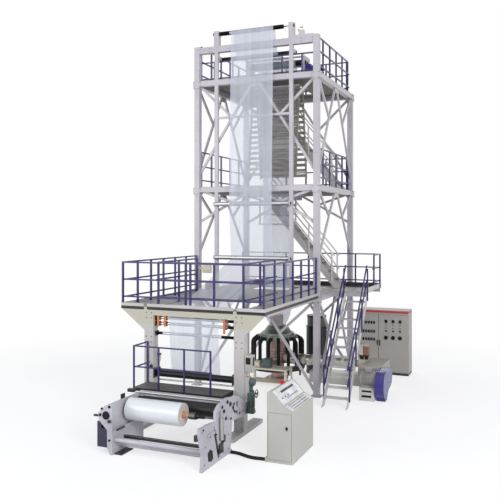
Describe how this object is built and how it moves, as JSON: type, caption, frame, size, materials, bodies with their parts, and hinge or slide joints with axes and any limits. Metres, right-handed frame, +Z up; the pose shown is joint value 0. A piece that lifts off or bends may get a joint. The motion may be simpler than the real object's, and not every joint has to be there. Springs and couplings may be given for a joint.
{
  "type": "blown film extrusion machine",
  "caption": "Tall blown film extrusion line: steel tower with floors, stairs and rails, film bubble over a die, haul-off, front frame, winder, extruder, console and control cabinets.",
  "frame": {"origin": "on the floor under the centre of the die, at the sole of the die's stand", "axes": "+X along the rollers towards the extruder, +Y from the winder at the front to the back, +Z up"},
  "size_m": [5.67, 10.63, 10.3],
  "materials": {
    "structure": "warm light grey enamel",
    "rails": "navy violet enamel",
    "black_edge": "black enamel",
    "deck": "grey chequer plate",
    "dark_metal": "dark satin enamel",
    "roller_steel": "turned satin metal",
    "roller_rubber": "smooth ground rubber",
    "slats": "plain wooden slats",
    "film": "thin translucent film",
    "film_wound": "film wound on a core",
    "die_steel": "machined steel",
    "air_ring_metal": "cast and turned aluminium",
    "hose_rubber": "corrugated rubber",
    "cream_paint": "cream enamel",
    "blower_paint": "dark enamel",
    "hopper_metal": "bare sheet metal",
    "drive_paint": "blue violet enamel",
    "winder_paint": "light grey enamel",
    "navy_paint": "navy enamel",
    "cabinet_paint": "light grey powder coat"
  },
  "bodies": {
    "line": {"tower_columns": "structure", "floor_beams": "structure", "inner_posts": "structure", "portal": "structure", "front_back_braces": "structure", "side_braces": "structure", "toe_boards": "black_edge", "platform_joists": "structure", "decks": "deck", "low_platform_rails": "rails", "gate_rails": "rails", "walkway_rails": "rails", "upper_floor_rails": "rails", "outer_stair": "structure", "outer_stair_rails": "rails", "inner_stairs": "structure", "inner_stair_rails": "rails", "front_frame": "structure", "catwalk": "black_edge", "catwalk_rails": "rails", "frame_bearings": "dark_metal", "guide_arms": "structure", "haul_off_frame": "structure", "haul_off_drive": "drive_paint", "collapsing_frame": "slats", "web_sheets": "film", "film_bubble": "film", "bubble_cage": "structure", "die_stand": "die_steel", "die_head": "die_steel", "air_ring": "air_ring_metal", "air_manifold": "dark_metal", "air_hoses": "hose_rubber", "service_table": "cream_paint", "blower": "blower_paint", "extruder_bed": "structure", "extruder": "cream_paint", "hoppers": "hopper_metal", "drive_motor": "drive_paint", "belt_guard": "drive_paint", "winder_frame": "winder_paint", "winder_cover": "navy_paint", "console": "cabinet_paint", "winder_bearings": "dark_metal", "console_cable": "hose_rubber", "cabinets": "cabinet_paint"},
    "film_roll": {"film_roll": "film_wound"},
    "contact_drum": {"contact_drum": "roller_rubber"},
    "web_nip_roller": {"web_nip_roller": "roller_rubber"},
    "upper_idler": {"upper_idler": "roller_steel"},
    "middle_idler": {"middle_idler": "roller_steel"},
    "lower_idler": {"lower_idler": "roller_steel"},
    "top_guide_roller": {"top_guide_roller": "roller_steel"},
    "second_guide_roller": {"second_guide_roller": "roller_rubber"},
    "middle_guide_roller": {"middle_guide_roller": "roller_steel"},
    "lower_guide_roller": {"lower_guide_roller": "roller_steel"},
    "haul_off_front_roller": {"haul_off_front_roller": "roller_rubber"},
    "haul_off_back_roller": {"haul_off_back_roller": "roller_steel"},
    "left_cabinet_door": {"left_cabinet_door": "cabinet_paint"},
    "right_cabinet_door": {"right_cabinet_door": "cabinet_paint"}
  },
  "joints": [
    {"name": "film_roll_spin", "type": "hinge", "parent": "line", "child": "film_roll", "pos_m": [0, -7.402, 0.8], "axis": [1, 0, 0], "continuous": true},
    {"name": "contact_drum_spin", "type": "hinge", "parent": "line", "child": "contact_drum", "pos_m": [0, -7.01, 0.83], "axis": [1, 0, 0], "continuous": true},
    {"name": "web_nip_spin", "type": "hinge", "parent": "line", "child": "web_nip_roller", "pos_m": [0, -5.7, 1.19], "axis": [1, 0, 0], "continuous": true},
    {"name": "upper_idler_spin", "type": "hinge", "parent": "line", "child": "upper_idler", "pos_m": [0, -5.7, 2.5], "axis": [1, 0, 0], "continuous": true},
    {"name": "middle_idler_spin", "type": "hinge", "parent": "line", "child": "middle_idler", "pos_m": [0, -5.7, 2.362], "axis": [1, 0, 0], "continuous": true},
    {"name": "lower_idler_spin", "type": "hinge", "parent": "line", "child": "lower_idler", "pos_m": [0, -5.7, 2.135], "axis": [1, 0, 0], "continuous": true},
    {"name": "top_guide_spin", "type": "hinge", "parent": "line", "child": "top_guide_roller", "pos_m": [0, -1.87, 10.21], "axis": [1, 0, 0], "continuous": true},
    {"name": "second_guide_spin", "type": "hinge", "parent": "line", "child": "second_guide_roller", "pos_m": [0, -1.5, 9.56], "axis": [1, 0, 0], "continuous": true},
    {"name": "middle_guide_spin", "type": "hinge", "parent": "line", "child": "middle_guide_roller", "pos_m": [0, -1.995, 5.29], "axis": [1, 0, 0], "continuous": true},
    {"name": "lower_guide_spin", "type": "hinge", "parent": "line", "child": "lower_guide_roller", "pos_m": [0, -1.995, 3.76], "axis": [1, 0, 0], "continuous": true},
    {"name": "haul_off_front_spin", "type": "hinge", "parent": "line", "child": "haul_off_front_roller", "pos_m": [0, -0.098, 9.6], "axis": [1, 0, 0], "continuous": true},
    {"name": "haul_off_back_spin", "type": "hinge", "parent": "line", "child": "haul_off_back_roller", "pos_m": [0, 0.098, 9.6], "axis": [1, 0, 0], "continuous": true},
    {"name": "left_door_swing", "type": "hinge", "parent": "line", "child": "left_cabinet_door", "pos_m": [2.12, 1.681, 1], "axis": [0, 0, -1], "range_deg": [0, 110]},
    {"name": "right_door_swing", "type": "hinge", "parent": "line", "child": "right_cabinet_door", "pos_m": [3.685, 1.681, 1], "axis": [0, 0, 1], "range_deg": [0, 110]}
  ],
  "couplings": [
    {"joint": "haul_off_back_spin", "follows": "haul_off_front_spin", "ratio": -1}
  ]
}
